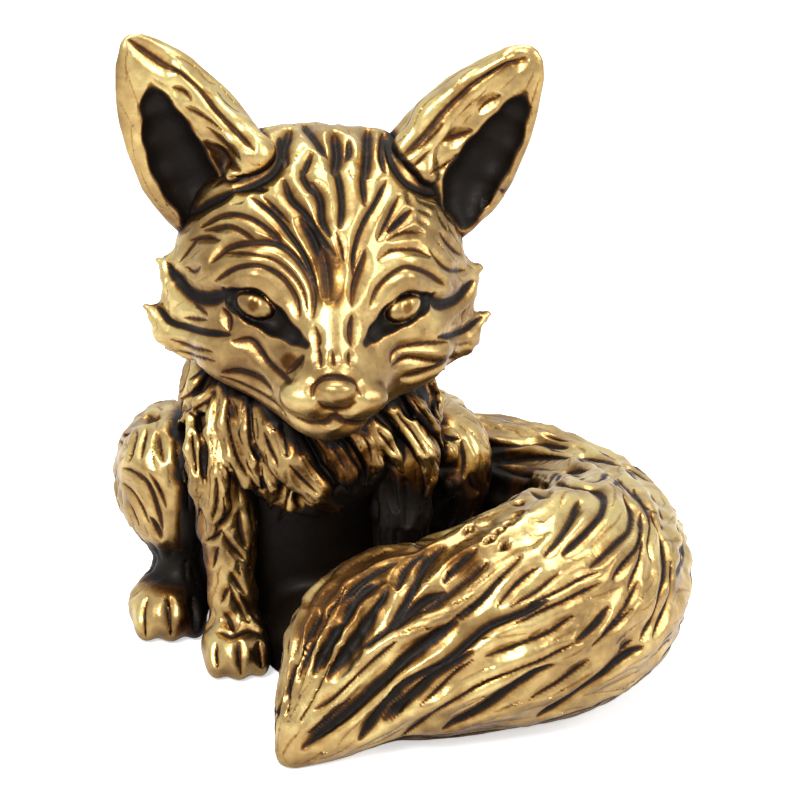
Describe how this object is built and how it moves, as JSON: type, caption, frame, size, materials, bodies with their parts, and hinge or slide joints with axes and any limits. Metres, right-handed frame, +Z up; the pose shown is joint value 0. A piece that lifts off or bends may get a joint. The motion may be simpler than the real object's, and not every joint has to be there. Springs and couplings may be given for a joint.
{
  "type": "fox figurine",
  "caption": "Small solid cast-brass ornament of a sitting fox with large ears and a bushy tail curled round its left side.",
  "frame": {"origin": "on the surface that the figure stands on, in the flat underside of the torso", "axes": "+Z up, the fox looks along -Y, and its left side and the curled tail are towards +X"},
  "size_m": [0.0262, 0.0259, 0.0291],
  "materials": {
    "cast_brass": "antiqued: dark patina left in the carved recesses, raised fur polished bright"
  },
  "bodies": {
    "root": {"torso": "cast_brass", "head": "cast_brass", "ruff": "cast_brass", "left_ear": "cast_brass", "right_ear": "cast_brass", "left_foreleg": "cast_brass", "right_foreleg": "cast_brass", "left_hind_leg": "cast_brass", "right_hind_leg": "cast_brass", "tail": "cast_brass"}
  },
  "joints": []
}
